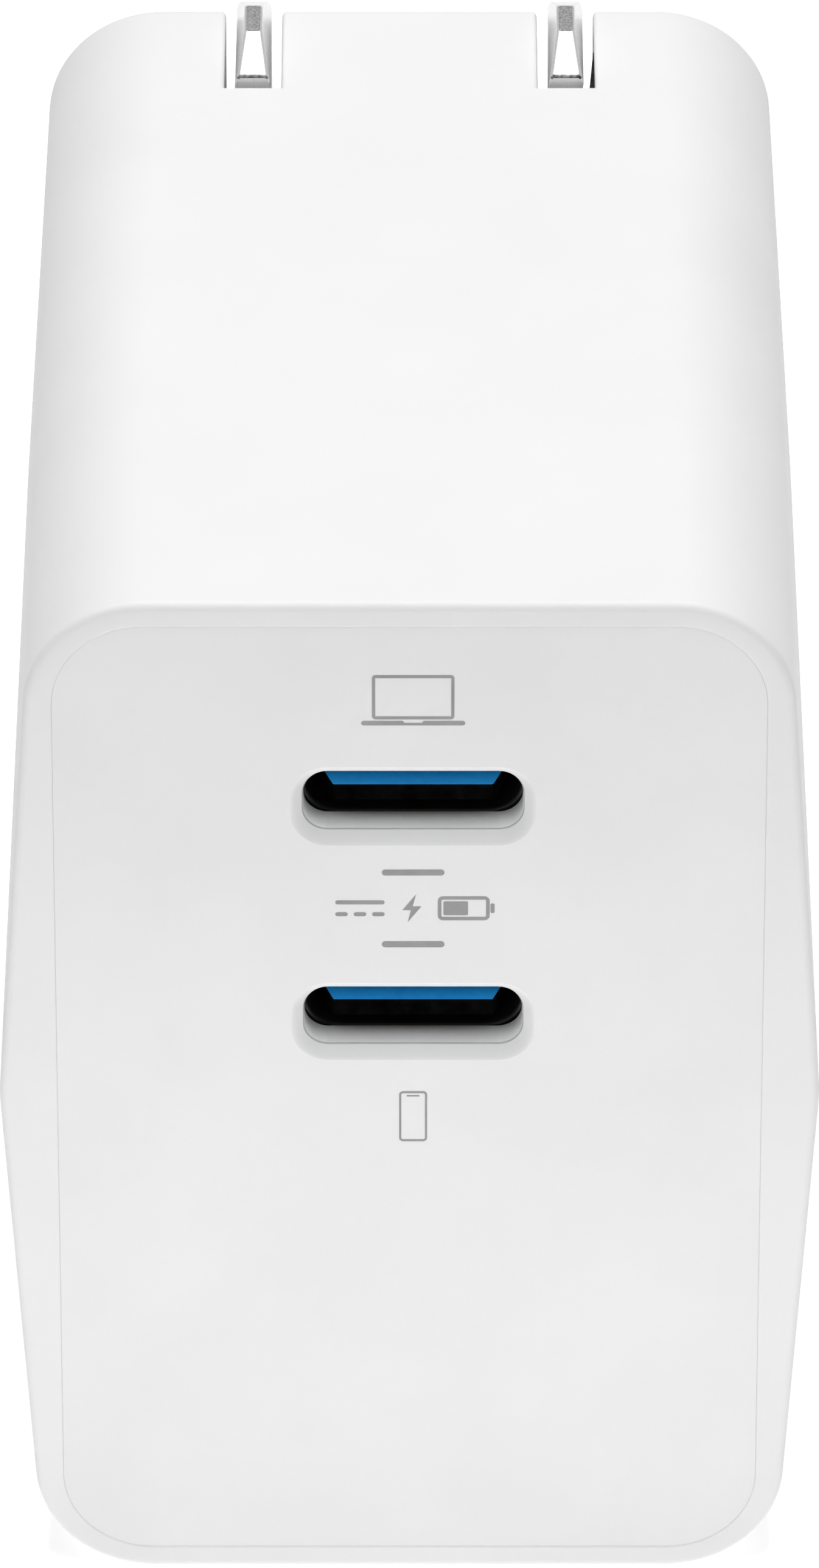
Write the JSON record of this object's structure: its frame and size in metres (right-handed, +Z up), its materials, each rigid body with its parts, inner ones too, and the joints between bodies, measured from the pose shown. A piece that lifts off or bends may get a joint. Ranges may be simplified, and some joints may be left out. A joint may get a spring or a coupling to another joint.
{
  "type": "folding plug wall charger",
  "caption": "Compact white wall charger with stacked reversible DC sockets in its inset front panel and a folding flat-blade mains plug in its back",
  "frame": {"origin": "centre of the whole assembly's footprint, on the surface that its base rests on, plug folded", "axes": "+Z up, +Y out of the wall face that the plug blades unfold from, -Y out of the socket panel, +X to the right of someone who looks at the sockets"},
  "size_m": [0.0318, 0.0472, 0.0459],
  "materials": {
    "case_plastic": "fine matte texture",
    "panel_plastic": "fine matte texture",
    "plated_blade": "bright nickel plate",
    "spring_bronze": "satin",
    "stamped_steel": "satin",
    "blackened_steel": "black plated",
    "black_plastic": "moulded",
    "tongue_plastic": "moulded",
    "circuit_board": "solder mask",
    "ferrite": "ground",
    "enamel_wire": "varnished",
    "winding_tape": "film tape",
    "can_sleeve": "shrink sleeve",
    "can_aluminium": "drawn",
    "film_box": "moulded",
    "disc_coating": "dipped",
    "thermistor_coating": "dipped",
    "chip_black": "moulded",
    "heat_aluminium": "rolled",
    "insulation_film": "film",
    "silicone_pad": "soft",
    "lead_insulation": "extruded"
  },
  "bodies": {
    "charger_body": {"main_housing": "case_plastic", "front_panel": "panel_plastic", "hinge_bracket": "black_plastic", "detent_spring": "stamped_steel", "contact_spring_left": "spring_bronze", "contact_spring_right": "spring_bronze", "input_lead_left": "lead_insulation", "input_lead_right": "lead_insulation", "main_board": "circuit_board", "port_board": "circuit_board", "board_link_header": "black_plastic", "usb_shell_upper": "blackened_steel", "usb_shell_lower": "blackened_steel", "usb_tongue_upper": "tongue_plastic", "usb_tongue_lower": "tongue_plastic", "transformer_core_lower": "ferrite", "transformer_core_upper": "ferrite", "transformer_bobbin": "black_plastic", "transformer_winding": "winding_tape", "choke_core": "ferrite", "choke_winding_left": "enamel_wire", "choke_winding_right": "enamel_wire", "x_capacitor": "film_box", "y_capacitor": "disc_coating", "bridge_rectifier": "chip_black", "fuse": "black_plastic", "inrush_thermistor": "thermistor_coating", "bulk_capacitor_left": "can_sleeve", "bulk_capacitor_right": "can_sleeve", "output_capacitor_left": "can_aluminium", "output_capacitor_right": "can_aluminium", "gan_switch": "chip_black", "primary_controller": "chip_black", "optocoupler": "chip_black", "sync_rectifier": "chip_black", "pd_controller": "chip_black", "output_inductor": "ferrite", "insulation_sleeve": "insulation_film", "heat_spreader_left": "heat_aluminium", "heat_spreader_right": "heat_aluminium", "thermal_pad": "silicone_pad"},
    "folding_plug": {"prong_carrier": "case_plastic", "prong_blade_left": "plated_blade", "prong_blade_right": "plated_blade"}
  },
  "joints": [
    {"name": "prong_fold", "type": "hinge", "parent": "charger_body", "child": "folding_plug", "pos_m": [0, 0.0207, 0.0256], "axis": [-1, 0, 0], "range_deg": [0, 90]}
  ]
}
